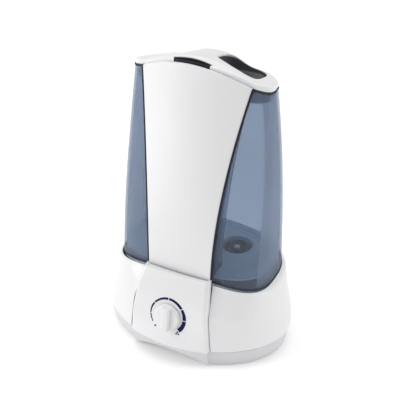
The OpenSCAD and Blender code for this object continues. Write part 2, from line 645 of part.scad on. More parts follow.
// Dark bead that fills the step between the fascia's edge and the tank window
module fascia_seal() {
    color(charcoal) for (s = [-1, 1]) seal_strip(s);
}
module seal_strip(s) {
    rows = [for (i = [0:12]) let (t = i / 12, p = fascia_point(1, t, 0))
        [[s * (p.x + 0.25), p.y + 0.8, p.z], [s * (p.x + 1.9), p.y + 0.8, p.z],
         [s * (p.x + 1.9), p.y + 2.0, p.z], [s * (p.x + 0.25), p.y + 2.0, p.z]]];
    skin_solid([for (r = rows) s > 0 ? r : [r[1], r[0], r[3], r[2]]]);
}
// Dark beads round the tank just above the base and just below the cap
module bead(low, high) {
    count = 60;
    corner = [[low, -0.12], [low, -0.65], [high, -0.65], [high, -0.12]];
    arcs = [for (c = corner) tank_arc(c[0], c[1], fascia_w(c[0]) + bead_gap, count)];
    skin_solid([for (i = [0:count]) [for (k = [0:3]) on_tank(arcs[k][i], corner[k][0])]]);
}
bead_gap = 2.2;
module rim_seal() {
    color(charcoal) bead(0.0085, 0.0145);
}
module cap_seal() {
    color(charcoal) bead(0.9895, 0.9985);
}

// ---- cap ----
recess_x = 34.5;        // middle of the hand recess
recess_y = 28;
recess_n = 3.4;
end_w = 61;             // half width where the crest levels out
function crest(x) = crest_z - 0.00457 * pow(min(abs(x), end_w), 2) - 0.1 * max(0, abs(x) - end_w);
// The cap falls from its crest to a rear rim with a raised middle, then drops away behind it
function rear_rim(x) = 317.8 - 0.0018 * pow(x, 2) + 8.3 * exp(-pow(x / 28, 4));
rim_y = 47;
function cap_top(x, y) = mix(crest(x), rear_rim(x), clamp01((y + 3) / (rim_y + 3)))
    - 0.72 * max(0, y - rim_y);
function cap_front(x) = -2.9 - 14 * (1 - pow(x / end_w, 2));
function cap_outline(off) =
    [for (i = [0:ring_n - 1]) let (p = tank_point(1, off, 360 * (i + 0.5) / ring_n))
        [p.x, p.y < 0 && abs(p.x) < end_w ? min(p.y, cap_front(p.x) + off) : p.y]];
function seam_height(x, y) = on_tank([x, y], 1).z + 0.3;
function edge_height(x, y) = y < 0 && abs(x) < end_w
    ? fascia_top - fascia_drop * pow(x / end_w, 2) + 0.4
    : min(seam_height(x, y) + 5.4 + 0.25 * max(0, y - 20), cap_top(x, y) - 1);
function cap_ring(off, kind) = [for (p = cap_outline(off)) [p.x, p.y,
    kind == "seam" ? seam_height(p.x, p.y)
    : kind == "edge" ? edge_height(p.x, p.y)
    : edge_height(p.x, p.y) - wall]];
recess_skew = 0.22;
function recess_outline(grow) = [for (p = oval_outline(recess_half_w + grow,
        -recess_half_d - grow, recess_half_d + grow, recess_n))
    [recess_x + p.x, recess_y + p.y + recess_skew * p.x * min(0, p.y) / recess_half_d]];
function recess_ring(grow, drop) =
    [for (p = recess_outline(grow)) [p.x, p.y, cap_top(p.x, p.y) - drop]];
// The lip of the recess gets thinner towards the right
function lip_depth(x) = mix(3, 1, smooth((x - 12) / 26));
function lip_ring(grow, extra) = [for (p = recess_outline(grow))
    [p.x, p.y, cap_top(p.x, p.y) - lip_depth(p.x) - extra]];
function between(a, b, t) = [for (i = [0:len(a) - 1]) let (p = mix(a[i], b[i], t))
    [p.x, p.y, cap_top(p.x, p.y)]];
module top_cap() {
    outer = cap_ring(0, "edge");
    lip = recess_ring(0, 0);
    color(white) difference() {
        skin_loop(concat([cap_ring(0, "seam"), outer],
            [for (t = [0.12, 0.28, 0.45, 0.62, 0.8]) between(outer, lip, t)],
            [lip, lip_ring(0, 0), lip_ring(0.6, 0.2), cap_ring(wall + 0.4, "under"),
                cap_ring(wall, "seam")]));
        translate([0, 0, 300]) linear_extrude(60) polygon(slot_outline(0.3, 3));
    }
}
// Outline of the mist slot, with its front edge moved ahead
function slot_outline(grow, ahead) = let (w = slot_w / 2 + 2.2 * grow, n = 8)
    concat([for (i = [0:n]) let (x = mix(w, -w, i / n)) [x, -9.8 - 2 * pow(x / w, 2) + grow]],
        [for (i = [0:n]) let (x = mix(-w, w, i / n) * 0.84)
            [x, -16.4 + 1.2 * pow(x / w, 2) - grow - ahead]]);
function slot_ring(grow, drop) =
    [for (p = slot_outline(grow, 0)) [p.x, p.y, cap_top(p.x, p.y) - drop]];
function slot_flat(grow, z) = [for (p = slot_outline(grow, 0)) [p.x, p.y, z]];
nozzle_z = 312;
module mist_nozzle() {
    color(charcoal) skin_loop([slot_flat(-0.8, nozzle_z), slot_flat(3, nozzle_z),
        slot_flat(3, nozzle_z + 2), slot_flat(0, nozzle_z + 2), slot_ring(0, 0.5), slot_ring(-0.8, 0.5)]);
}
// Tub under the hand recess
module hand_recess() {
    tub_z = crest_z - recess_depth;
    color(charcoal) skin_solid([tub_ring(0.9, tub_z), lip_ring(0.9, 1), lip_ring(-0.6, 1),
        tub_ring(-0.6, tub_z + 2)]);
}
function tub_ring(grow, z) = [for (p = recess_outline(grow)) [p.x, p.y, z]];

// ---- tank cap with valve ----
cap_low = 84.4;
module at_cap() {
    translate([cap_x, cap_y, 0]) children();
}
module tank_cap() {
    color(navy) at_cap() difference() {
        union() {
            translate([0, 0, cap_low]) cylinder(r = 23, h = 15, $fn = 96);
            for (a = [0:15:345]) rotate(a) translate([22.6, -1.2, cap_low]) cube([1.8, 2.4, 13]);
        }
        translate([0, 0, cap_low + 2.4]) cylinder(r = 20.35, h = 20, $fn = 96);
        translate([0, 0, cap_low - 1]) cylinder(r = 3.06, h = 6, $fn = 48);
        for (a = [0:60:300]) rotate(a) translate([6.5, 0, cap_low - 1]) cylinder(r = 2, h = 6, $fn = 32);
    }
}
module cap_gasket() {
    color("black") at_cap() translate([0, 0, cap_low + 2.5]) difference() {
        cylinder(r = 20.2, h = 3, $fn = 64);
        translate([0, 0, -1]) cylinder(r = 17.4, h = 6, $fn = 64);
    }
}
module valve_cage() {
    color(charcoal) at_cap() {
        translate([0, 0, cap_low + 2.5]) difference() {
            cylinder(r = 14, h = 16.5, $fn = 64);
            translate([0, 0, -1]) cylinder(r = 12.4, h = 15.8, $fn = 64);
            translate([0, 0, 10]) cylinder(r = 3.06, h = 12, $fn = 48);
            for (a = [0:45:135]) rotate(a) translate([-20, -3, 2]) cube([40, 6, 11]);
            for (a = [0:60:300]) rotate(a) translate([8.4, 0, 10]) cylinder(r = 2.4, h = 10, $fn = 32);
        }
    }
}
module valve_plunger() {
    color(white) at_cap() {
        translate([0, 0, cap_low + 0.2]) cylinder(r = 3, h = 20.4, $fn = 48);
        translate([0, 0, cap_low + 4.6]) cylinder(r = 9.6, h = 1.4, $fn = 64);
    }
}
module valve_seal() {
    color("black") at_cap() translate([0, 0, cap_low + 2.7]) difference() {
        cylinder(r = 9.8, h = 1.8, $fn = 64);
        translate([0, 0, -1]) cylinder(r = 3.02, h = 4, $fn = 48);
    }
}
spring_turns = 5;
module valve_spring() {
    wire = 0.5;
    steps = 20 * spring_turns;
    sides = 6;
    low = cap_low + 6.6;
    high = cap_low + 16.7;
    color("silver") at_cap() skin_solid([for (i = [0:steps])
        let (a = i * 360 / 20, z = mix(low, high, i / steps))
        [for (k = [0:sides - 1]) let (b = -k * 360 / sides)
            [(5.2 + wire * cos(b)) * cos(a), (5.2 + wire * cos(b)) * sin(a), z + wire * sin(b)]]]);
}

module placed() {
    translate([0, centre_y, 0]) children();
}

placed() base_housing();
placed() front_panel();
placed() bottom_cover();
placed() feet();
placed() base_screws();
placed() cord_gland();
placed() dial_scale();
placed() dial_knob();
placed() potentiometer();
placed() potentiometer_nut();
placed() control_board();
placed() panel_screws();
placed() water_basin();
placed() basin_screws();
placed() transducer_disc();
placed() transducer_seal();
placed() transducer_retainer();
placed() transducer_screws();
placed() valve_post();
placed() float_post();
placed() float_clip();
placed() float();
placed() float_magnet();
placed() reed_switch();
placed() fan_frame();
placed() fan_stator();
placed() fan_rotor();
placed() fan_screws();
placed() air_filter();
placed() transformer();
placed() transformer_screws();
placed() driver_board();
placed() heat_sink();
placed() capacitors();
placed() board_screws();
placed() tank_body();
placed() tank_floor();
placed() tank_roof();
placed() front_fascia();
placed() fascia_seal();
placed() rim_seal();
placed() cap_seal();
placed() top_cap();
placed() hand_recess();
placed() mist_nozzle();
placed() tank_cap();
placed() cap_gasket();
placed() valve_cage();
placed() valve_spring();
placed() valve_plunger();
placed() valve_seal();
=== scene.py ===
# Table-top ultrasonic cool mist humidifier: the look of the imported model.
# Shells are drawn in millimetres from the same rules as the model and placed in metres.
import json
import math

import bmesh
import bpy
from mathutils import Matrix, Vector


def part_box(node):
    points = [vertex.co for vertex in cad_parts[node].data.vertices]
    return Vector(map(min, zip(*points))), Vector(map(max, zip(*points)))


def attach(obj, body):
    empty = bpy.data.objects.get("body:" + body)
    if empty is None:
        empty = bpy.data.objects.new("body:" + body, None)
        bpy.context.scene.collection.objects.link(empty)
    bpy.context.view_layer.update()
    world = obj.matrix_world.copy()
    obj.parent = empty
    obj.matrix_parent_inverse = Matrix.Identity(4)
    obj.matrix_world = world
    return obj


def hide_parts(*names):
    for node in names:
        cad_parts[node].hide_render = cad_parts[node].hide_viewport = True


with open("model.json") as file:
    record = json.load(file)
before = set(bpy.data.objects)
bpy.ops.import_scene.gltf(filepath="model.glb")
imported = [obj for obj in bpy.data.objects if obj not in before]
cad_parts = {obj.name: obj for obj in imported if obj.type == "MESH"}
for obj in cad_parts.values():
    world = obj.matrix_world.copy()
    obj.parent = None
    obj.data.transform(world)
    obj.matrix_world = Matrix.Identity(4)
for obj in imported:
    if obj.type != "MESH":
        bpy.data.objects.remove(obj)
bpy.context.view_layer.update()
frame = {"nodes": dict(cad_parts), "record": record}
MM = 0.001


def middle(node):
    low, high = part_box(node)
    return (low + high) / 2


SHIFT_Y = middle("feet").y / MM          # the model is drawn about the middle of its base
SEAM_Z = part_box("base_housing")[0].z / MM
CREST_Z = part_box("top_cap")[1].z / MM - 0.02
HALF_W = (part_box("base_housing")[1].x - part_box("base_housing")[0].x) / 2 / MM + 0.25
HALF_D = 80.0
RIM_Z = 101.0
WALL = 2.4


# ---- small maths ----
def mix(a, b, t):
    return a + (b - a) * t


def clamp(v):
    return max(0.0, min(1.0, v))


def smooth(v):
    t = clamp(v)
    return t * t * (3 - 2 * t)


def spow(v, p):
    return math.copysign(abs(v) ** p, v)


def steps(count, low=0.0, high=1.0):
    return [mix(low, high, i / (count - 1)) for i in range(count)]


def through(xs, ys, x):
    """Smooth curve through the points, with no overshoot."""
    n = len(xs)
    i = max(0, min(n - 2, sum(1 for v in xs if v <= x) - 1))
    slopes = [(ys[k + 1] - ys[k]) / (xs[k + 1] - xs[k]) for k in range(n - 1)]

    def tangent(k):
        if k == 0:
            return slopes[0]
        if k == n - 1:
            return slopes[-1]
        a, b = slopes[k - 1], slopes[k]
        return 0.0 if a * b <= 0 else 2 * a * b / (a + b)

    h = xs[i + 1] - xs[i]
    t = (x - xs[i]) / h
    return ((1 + 2 * t) * (1 - t) ** 2 * ys[i] + t * (1 - t) ** 2 * h * tangent(i)
            + t * t * (3 - 2 * t) * ys[i + 1] - t * t * (1 - t) * h * tangent(i + 1))


def bend(a, b, c, count):
    """Points on a soft corner that leaves a, heads for b and arrives at c."""
    return [tuple((1 - t) ** 2 * p + 2 * t * (1 - t) * q + t * t * r for p, q, r in zip(a, b, c))
            for t in steps(count)]


def oval(a, front, back, n, angle):
    return (a * spow(math.cos(angle), 2 / n),
            (front + back) / 2 + (back - front) / 2 * spow(math.sin(angle), 2 / n))


def oval_outline(a, front, back, n, count=192):
    return [oval(a, front, back, n, math.tau * (i + 0.5) / count) for i in range(count)]


# ---- meshes ----
SHARP_ANGLE = 35          # degrees between faces above which an edge is drawn sharp


def new_piece(name, points, faces, sharp=SHARP_ANGLE):
    mesh = bpy.data.meshes.new(name)
    mesh.from_pydata([(x * MM, (y + SHIFT_Y) * MM, z * MM) for x, y, z in points], [], faces)
    piece = bpy.data.objects.new(name, mesh)
    bpy.context.scene.collection.objects.link(piece)
    tidy_mesh(piece, sharp)
    return piece


def tidy_mesh(piece, sharp):
    mesh = piece.data
    bm = bmesh.new()
    bm.from_mesh(mesh)
    bmesh.ops.recalc_face_normals(bm, faces=bm.faces)
    bm.to_mesh(mesh)
    bm.free()
    mesh.shade_smooth()
    mesh.set_sharp_from_angle(angle=math.radians(sharp))


def ring_faces(count, low, high):
    return [(low + i, low + (i + 1) % count, high + (i + 1) % count, high + i)
            for i in range(count)]


def skin(name, rings, loop=True, sharp=SHARP_ANGLE):
    """Closed solid through rings of equal length, joined last to first or closed by end faces."""
    n, m = len(rings[0]), len(rings)
    faces = [f for j in range(m if loop else m - 1) for f in ring_faces(n, j * n, (j + 1) % m * n)]
    if not loop:
        faces += [tuple(range(n))[::-1], tuple(range((m - 1) * n, m * n))]
    return new_piece(name, [p for ring in rings for p in ring], faces, sharp)


def sheet(name, rows, sharp=SHARP_ANGLE):
    """Open surface through rows of points."""
    n = len(rows[0])
    faces = [(j * n + i, j * n + i + 1, (j + 1) * n + i + 1, (j + 1) * n + i)
             for j in range(len(rows) - 1) for i in range(n - 1)]
    return new_piece(name, [p for row in rows for p in row], faces, sharp)


def thick(piece, amount, offset=-1):
    mod = piece.modifiers.new("thickness", "SOLIDIFY")
    mod.thickness = amount * MM
    mod.offset = offset
    mod.use_even_offset = True
    return piece


def settle(piece, sharp):
    """Turns a piece's modifiers into plain mesh."""
    graph = bpy.context.evaluated_depsgraph_get()
    mesh = bpy.data.meshes.new_from_object(piece.evaluated_get(graph))
    piece.modifiers.clear()
    piece.data = mesh
    tidy_mesh(piece, sharp)
    return piece


def combine(piece, others, operation="DIFFERENCE", sharp=SHARP_ANGLE):
    for other in others:
        mod = piece.modifiers.new("cut", "BOOLEAN")
        mod.operation = operation
        mod.solver = "EXACT"
        mod.object = other
    settle(piece, sharp)
    for other in others:
        bpy.data.objects.remove(other)
    return piece


def prism(outline, low, high):
    return skin("cutter", [[(x, y, z) for x, y in outline] for z in (low, high)], loop=False)


def disc(x, y, r, low, high, count=64):
    return prism([(x + r * math.cos(math.tau * i / count), y + r * math.sin(math.tau * i / count))
                  for i in range(count)], low, high)


def lathe(name, profile, count=128):
    """Solid of revolution about Z from a profile of radius and height, closed on the axis."""
    rings = [[(r * math.cos(math.tau * i / count), r * math.sin(math.tau * i / count), z)
              for i in range(count)] for r, z in profile]
    return skin(name, rings, loop=False)


def show(piece, body, slot, *nodes):
    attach(piece, body)
    if nodes:
        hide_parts(*nodes)
    piece.data.materials.clear()
    piece.data.materials.append(MATERIALS[slot])
    return piece


# ---- materials ----
class Nodes:
    """A material's node tree with short calls to add and join nodes."""

    def __init__(self, name):
        self.material = bpy.data.materials.new(name)
        self.material.use_nodes = True
        self.tree = self.material.node_tree
        self.shader = self.tree.nodes["Principled BSDF"]
        self.output = self.tree.nodes["Material Output"]
        self.place = self.add("ShaderNodeTexCoord").outputs["Object"]

    def add(self, kind, **settings):
        node = self.tree.nodes.new(kind)
        for key, value in settings.items():
            if hasattr(node, key):
                setattr(node, key, value)
            else:
                node.inputs[key.replace("_", " ")].default_value = value
        return node

    def join(self, out, into):
        self.tree.links.new(out, into)

    def noise(self, scale, detail=3.0, stretch=(1, 1, 1), rough=0.5):
        mapping = self.add("ShaderNodeMapping")
        mapping.inputs["Scale"].default_value = stretch
        self.join(self.place, mapping.inputs["Vector"])
        noise = self.add("ShaderNodeTexNoise", Scale=scale, Detail=detail, Roughness=rough)
        self.join(mapping.outputs["Vector"], noise.inputs["Vector"])
        return noise.outputs["Fac"]

    def span(self, value, low, high):
        node = self.add("ShaderNodeMapRange")
        node.inputs["From Min"].default_value = 0.3
        node.inputs["From Max"].default_value = 0.7
        node.inputs["To Min"].default_value = low
        node.inputs["To Max"].default_value = high
        self.join(value, node.inputs["Value"])
        return node.outputs["Result"]

    def blend(self, factor, a, b):
        node = self.add("ShaderNodeMix", data_type="RGBA")
        self.join(factor, node.inputs["Factor"])
        for index, value in ((6, a), (7, b)):
            if isinstance(value, tuple):
                node.inputs[index].default_value = (*value, 1)
            else:
                self.join(value, node.inputs[index])
        return node.outputs[2]

    def bump(self, height, strength, depth):
        node = self.add("ShaderNodeBump", Strength=strength, Distance=depth * MM)
        self.join(height, node.inputs["Height"])
        self.join(node.outputs["Normal"], self.shader.inputs["Normal"])

    def edges(self, low=0.52, high=0.62):
        """1 on worn outer edges, 0 elsewhere."""
        node = self.add("ShaderNodeMapRange")
        node.inputs["From Min"].default_value = low
        node.inputs["From Max"].default_value = high
        self.join(self.add("ShaderNodeNewGeometry").outputs["Pointiness"], node.inputs["Value"])
        return node.outputs["Result"]


def shade(colour, factor):
    return tuple(min(1.0, c * factor) for c in colour)


def plastic(name, colour, rough, gloss=0.0, grain=0.06, vary=0.02, specular=0.5, worn=1.03):
    m = Nodes(name)
    cloud = m.blend(m.span(m.noise(9.0, 1.0), 0, 1),
                    shade(colour, 1 - vary), shade(colour, 1 + vary))
    m.join(m.blend(m.edges(), cloud, shade(colour, worn)), m.shader.inputs["Base Color"])
    m.join(m.span(m.noise(55.0, 2.0), rough * 0.97, rough * 1.04), m.shader.inputs["Roughness"])
    m.bump(m.noise(1400.0, 2.0), grain, 0.03)
    m.shader.inputs["Specular IOR Level"].default_value = specular
    m.shader.inputs["Coat Weight"].default_value = gloss
    m.shader.inputs["Coat Roughness"].default_value = 0.12
    return m.material


def metal(name, colour, rough):
    m = Nodes(name)
    lines = m.noise(160.0, 5.0, stretch=(1, 1, 30))
    m.join(m.blend(m.span(lines, 0, 1), shade(colour, 0.86), shade(colour, 1.08)),
           m.shader.inputs["Base Color"])
    m.join(m.span(m.noise(70.0, 4.0), rough * 0.8, rough * 1.25), m.shader.inputs["Roughness"])
    m.shader.inputs["Metallic"].default_value = 1.0
    m.bump(lines, 0.2, 0.05)
    return m.material


def tinted(name, colour, tint, body=0.06, rough=0.12):
    """Clear coloured moulding: a tinting film with a gloss and a little body colour."""
    m = Nodes(name)
    cloud = m.span(m.noise(7.0, 2.0), 0, 1)
    m.join(m.blend(cloud, shade(colour, 0.93), shade(colour, 1.07)), m.shader.inputs["Base Color"])
    m.join(m.span(m.noise(40.0, 3.0), rough * 0.8, rough * 1.3), m.shader.inputs["Roughness"])
    m.bump(m.noise(90.0, 2.0), 0.12, 0.12)
    clear = m.add("ShaderNodeBsdfTransparent")
    film = m.blend(cloud, shade(tint, 0.98), shade(tint, 1.02))
    dense = m.add("ShaderNodeAttribute", attribute_name="density").outputs["Fac"]
    m.join(m.blend(dense, film, shade(tint, 0.48)), clear.inputs["Color"])
    join = m.add("ShaderNodeMixShader")
    facing = m.add("ShaderNodeLayerWeight", Blend=0.25)
    amount = m.add("ShaderNodeMapRange")
    amount.inputs["To Min"].default_value = body
    amount.inputs["To Max"].default_value = 0.5
    m.join(facing.outputs["Fresnel"], amount.inputs["Value"])
    m.join(amount.outputs["Result"], join.inputs["Fac"])
    m.join(clear.outputs["BSDF"], join.inputs[1])
    m.join(m.shader.outputs["BSDF"], join.inputs[2])
    m.join(join.outputs["Shader"], m.output.inputs["Surface"])
    return m.material


def speckled(name, dark, light, scale, rough, grain=0.4):
    m = Nodes(name)
    spots = m.noise(scale, 6.0, rough=0.7)
    m.join(m.blend(m.span(spots, 0, 1), dark, light), m.shader.inputs["Base Color"])
    m.join(m.span(m.noise(scale / 3, 3.0), rough * 0.85, min(1.0, rough * 1.1)),
           m.shader.inputs["Roughness"])
    m.bump(spots, grain, 0.2)
    return m.material


def layered(name, dark, light, pitch, rough):
    """Stacked plates or wound wire: fine stripes along Z."""
    m = Nodes(name)
    wave = m.add("ShaderNodeTexWave", bands_direction="Z", Scale=pitch, Distortion=0.6)
    m.join(m.place, wave.inputs["Vector"])
    m.join(m.blend(wave.outputs["Fac"], dark, light), m.shader.inputs["Base Color"])
    m.join(m.span(m.noise(90.0), rough * 0.85, rough * 1.15), m.shader.inputs["Roughness"])
    m.shader.inputs["Metallic"].default_value = 0.6
    m.bump(wave.outputs["Fac"], 0.3, 0.1)
    return m.material


WHITE = (0.77, 0.77, 0.78)
MATERIALS = {
    "shell": plastic("white_gloss_plastic", WHITE, 0.3, gloss=0.25),
    # painted shade: the bottom cover is the white plastic darkened to stand in for the shade under
    # the base
    "cover": plastic("white_plastic_darkened_painted_shade", (0.62, 0.62, 0.64), 0.4, gloss=0.05),
    "inner_white": plastic("white_matt_plastic", (0.74, 0.75, 0.77), 0.5, grain=0.4),
    "tank": tinted("smoky_blue_clear_plastic", (0.40, 0.45, 0.54), (0.715, 0.762, 0.822), 0.1),
    # partly painted light: clear blue plastic whose strong light blue body colour stands in for the
    # lit white basin seen through the tank floor
    "tank_base": tinted("blue_clear_plastic_painted_light", (0.75, 0.86, 0.98), (0.88, 0.92, 0.95), 0.75, 0.3),
    "recess_tint": plastic("dark_smoky_plastic", (0.075, 0.08, 0.09), 0.35, gloss=0.2, vary=0.1),
    "dark_trim": plastic("black_matt_plastic", (0.012, 0.013, 0.018), 0.5, vary=0.15, specular=0.25,
                         worn=1.5),
    "ink": plastic("navy_ink", (0.01, 0.008, 0.07), 0.5, vary=0.1, specular=0.1),
    "cap_blue": plastic("navy_plastic", (0.03, 0.045, 0.12), 0.32, gloss=0.2, vary=0.08),
    "rubber_black": speckled("black_rubber", (0.012, 0.012, 0.012), (0.035, 0.035, 0.036),
                             500.0, 0.8),
    "steel": metal("zinc_plated_steel", (0.6, 0.61, 0.63), 0.32),
    "brass": metal("brass_plain", (0.75, 0.55, 0.25), 0.28),
    "board": speckled("green_laminate", (0.012, 0.09, 0.035), (0.03, 0.16, 0.06), 260.0, 0.4, 0.2),
    "foam": speckled("closed_foam", (0.45, 0.4, 0.28), (0.66, 0.6, 0.45), 700.0, 0.9, 0.8),
    "magnet": speckled("sintered_ferrite", (0.03, 0.028, 0.028), (0.07, 0.065, 0.065), 900.0, 0.6),
    "copper": layered("enamelled_wire", (0.3, 0.1, 0.03), (0.62, 0.26, 0.1), 700.0, 0.35),
    "iron": layered("stacked_iron", (0.1, 0.1, 0.105), (0.24, 0.24, 0.25), 520.0, 0.5),
    "alloy": metal("plain_aluminium", (0.74, 0.75, 0.77), 0.35),
    "sleeve": plastic("shrink_sleeve", (0.02, 0.03, 0.12), 0.35, vary=0.1),
}


def smooth_group():
    """Modifier tree that rounds the shading of a carried-over node between its sharp edges."""
    group = bpy.data.node_groups.new("smooth_by_angle", "GeometryNodeTree")
    for way in ("INPUT", "OUTPUT"):
        group.interface.new_socket("Geometry", in_out=way, socket_type="NodeSocketGeometry")
    start, end = group.nodes.new("NodeGroupInput"), group.nodes.new("NodeGroupOutput")
    faces = group.nodes.new("GeometryNodeSetShadeSmooth")
    sharp = group.nodes.new("GeometryNodeSetShadeSmooth")
    sharp.domain = "EDGE"
    sharp.inputs["Shade Smooth"].default_value = False
    angle = group.nodes.new("GeometryNodeInputMeshEdgeAngle")
    over = group.nodes.new("FunctionNodeCompare")
    over.operation = "GREATER_THAN"
    over.inputs["B"].default_value = math.radians(SHARP_ANGLE)
    group.links.new(start.outputs[0], faces.inputs["Geometry"])
    group.links.new(faces.outputs[0], sharp.inputs["Geometry"])
    group.links.new(angle.outputs["Unsigned Angle"], over.inputs["A"])
    group.links.new(over.outputs["Result"], sharp.inputs["Selection"])
    group.links.new(sharp.outputs[0], end.inputs[0])
    return group


SMOOTH = smooth_group()
for part in frame["record"]["subparts"]:
    node = frame["nodes"][part["node"]]
    node.data.materials.clear()
    node.data.materials.append(MATERIALS[part["material_slot"]])
    node.modifiers.new("smooth shading", "NODES").node_group = SMOOTH


# ---- base housing ----
BASE_Z = [SEAM_Z, 36, 50, 66, 82, 94, 99, RIM_Z + 0.6]
BASE_DIP = [0, 1, 4, 8, 12, 14, 15, 15]
BASE_A = [HALF_W + d for d in (0, -1, -4.5, -8.5, -12, -14.5, -16.6, -19.3)]
BASE_FRONT = [-HALF_D + d for d in (0, 0.5, 2.5, 5, 14, 22.5, 27.5, 28.4)]
BASE_BACK = [HALF_D + d for d in (1, 2, 2, 1, -2, -8, -11, -13.8)]
BASE_N = [1.95, 2.0, 2.1, 2.2, 2.4, 2.6, 2.95, 3.0]


def base_ring(z, inset=0.0, drop=0.0):
    a, front, back, n, dip = (through(BASE_Z, values, z) for values in
                              (BASE_A, BASE_FRONT, BASE_BACK, BASE_N, BASE_DIP))
    return [(x, y, z - drop - dip * (x / a) ** 2)
            for x, y in oval_outline(a - inset, front + inset, back - inset, n)]


PANEL_TOP_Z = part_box("front_panel")[1].z / MM
PANEL_LIP = 3.0
PANEL_GAP = 0.08
PANEL_LINE = [(-82.6, SEAM_Z + 0.3), (-82, 29), (-80.6, 35), (-78.2, 46), (-75.3, 60), (-72.6, 73),
              (-69.6, 82), (-65.4, 91), (-60.6, 99), (-57.6, PANEL_TOP_Z - 1), (-55.6, PANEL_TOP_Z)]


def panel_w(z):
    return mix(36, 47, clamp((PANEL_TOP_Z - z) / (PANEL_TOP_Z - SEAM_Z)) ** 0.62)


def panel_curve(z):
    return mix(7.5, 1.2, smooth((z - SEAM_Z) / 34))


def panel_y(z):
    return through([p[1] for p in PANEL_LINE], [p[0] for p in PANEL_LINE], z)


def make_base():
    heights = [mix(SEAM_Z, RIM_Z + 0.6, t) for t in steps(44)]
    rings = [base_ring(SEAM_Z, 0.9, 0.0), base_ring(SEAM_Z, 0.25, -0.25)]
    rings += [base_ring(z, 0.0, 0.0) for z in heights[1:-1]]
    lip = 0.75
    for angle in steps(7, 0, 180):
        rings.append(base_ring(RIM_Z + 0.6, lip - lip * math.cos(math.radians(angle)),
                               lip - lip * math.sin(math.radians(angle))))
    rings += [base_ring(z, WALL) for z in heights[-3:2:-3]]
    rings.append(base_ring(SEAM_Z, WALL))
    housing = skin("base_shell", rings)
    zs = steps(40, SEAM_Z - 1, PANEL_TOP_Z + 6)
    edge = [(panel_w(z) + PANEL_LIP + PANEL_GAP, z) for z in zs]
    outline = edge + [(-x, z) for x, z in reversed(edge)]
    cutter = skin("cutter", [[(x, y, z) for x, z in outline] for y in (-110, -45)], loop=False)
    combine(housing, [cutter])
    show(housing, "base", "shell", "base_housing")


def make_panel():
    zs = steps(70, SEAM_Z + 0.3, PANEL_TOP_Z - 0.02)
    rows = []
    for z in zs:
        w, c, y = panel_w(z), panel_curve(z), panel_y(z)
        face = [(u * (w - 1.4), y + c * (u * (w - 1.4) / w) ** 2) for u in steps(49, -1, 1)]
        corner = bend((w - 1.4, face[-1][1]), (w, y + c), (w + 0.7, y + c + 1.5), 6)
        side = [(w + 1.8, y + c + 4.2), (w + PANEL_LIP, min(y + c + 7, -46))]
        right = corner[1:] + side
        left = [(-x, v) for x, v in reversed(right)]
        rows.append([(x, v, z) for x, v in left + face + right])
    last = rows[-1]
    for back, down in ((0.9, 0.05), (2.6, 0.15), (4.4, 0.5), (5.2, 1.2)):
        rows.append([(x * (1 - 0.004 * back), y + back, z - down) for x, y, z in last])
    panel = sheet("front_panel_shell", rows, sharp=40)
    thick(panel, 1.8, offset=-1)
    show(panel, "base", "shell", "front_panel")


# ---- bottom cover ----
COVER_Z = [1.4, 12, SEAM_Z - 0.5]
COVER_A = [HALF_W - 6, HALF_W - 3, HALF_W - 1.2]
COVER_D = [HALF_D - 7, HALF_D - 3.6, HALF_D - 1.4]
ARCH_W, ARCH_H, PLATE_Z = 46.0, 17.0, 20.8


def cover_ring(z, inset):
    a, d = (through(COVER_Z, v, z) for v in (COVER_A, COVER_D))
    return [(x, y, z) for x, y in oval_outline(a - inset, -d + inset, d + 1 - inset, 2.0)]


def four_spots(x, y):
    return [(sx * x, sy * y) for sx in (-1, 1) for sy in (-1, 1)]


def make_cover():
    low, high = COVER_Z[0], COVER_Z[-1]
    rings = [cover_ring(low, 1.0)] + [cover_ring(low + 0.3, 0.25)]
    rings += [cover_ring(z, 0) for z in steps(10, low + 1.0, high - 0.8)]
    rings += [cover_ring(high - 0.2, 0.2), cover_ring(high, 0.8), cover_ring(high, WALL)]
    rings += [cover_ring(z, WALL) for z in steps(4, high - 3, low)]
    cover = skin("bottom_cover_shell", rings)

    def block(k, back):
        top, foot = (panel_w(SEAM_Z) - 0.4, -81.4), (ARCH_W, -72.8)
        w, y = mix(foot[0], top[0], k), mix(foot[1], top[1], k)
        return [(u * w, y + mix(3.6, 7, k) * u * u + back, mix(low, high, k))
                for u in steps(41, -1, 1)]

    proud = skin("proud_block", [block(k, 0) + block(k, 6)[::-1] for k in steps(8)], loop=False)
    plate = prism(oval_outline(HALF_W - 3, -HALF_D + 3.4, HALF_D - 2.6, 2.0),
                  PLATE_Z, PLATE_Z + 2.6)
    feet = [disc(x, y, 9.6, low, PLATE_Z + 1) for x, y in four_spots(66, 42)]
    combine(cover, [proud, plate] + feet, "UNION")
    r = (ARCH_W ** 2 + ARCH_H ** 2) / (2 * ARCH_H)
    cuts = []
    for side in (-1, 1):
        circle = [(r * math.cos(math.tau * i / 240), ARCH_H - r + r * math.sin(math.tau * i / 240))
                  for i in range(240)]
        cuts.append(skin("cutter", [[(x, y, z) for x, z in circle]
                                    for y in (side * 70 - 35, side * 70 + 35)], loop=False))
    cuts += [disc(x, y, 8.1, 0, 3) for x, y in four_spots(66, 42)]
    cuts += [disc(x, y, 3.8, 10, PLATE_Z + 0.05) for x, y in four_spots(82, 35)]
    fan = middle("fan_rotor")
    pitch, reach, half = 4.6, 20, 1.2
    for i in range(-4, 5):
        x, y = fan.x / MM, fan.y / MM - SHIFT_Y + i * pitch
        slot = [(x - reach, y - half), (x + reach, y - half),
                (x + reach, y + half), (x - reach, y + half)]
        cuts.append(prism(slot, PLATE_Z - 1, PLATE_Z + 4))
    combine(cover, cuts)
    show(cover, "base", "cover", "bottom_cover")


# ---- dial ----
DIAL = Vector((0, -75.3, 60))
DIAL_TILT = math.radians(10.4)
SCALE_R = 21.9
SCALE_BAND = [(214, 187, 0.9, 1.3), (184, 147, 1.3, 1.9), (144, 95, 1.9, 2.4),
              (92, 42, 2.4, 3.2), (39, 2, 3.2, 4.2), (-1, -44, 4.2, 5)]


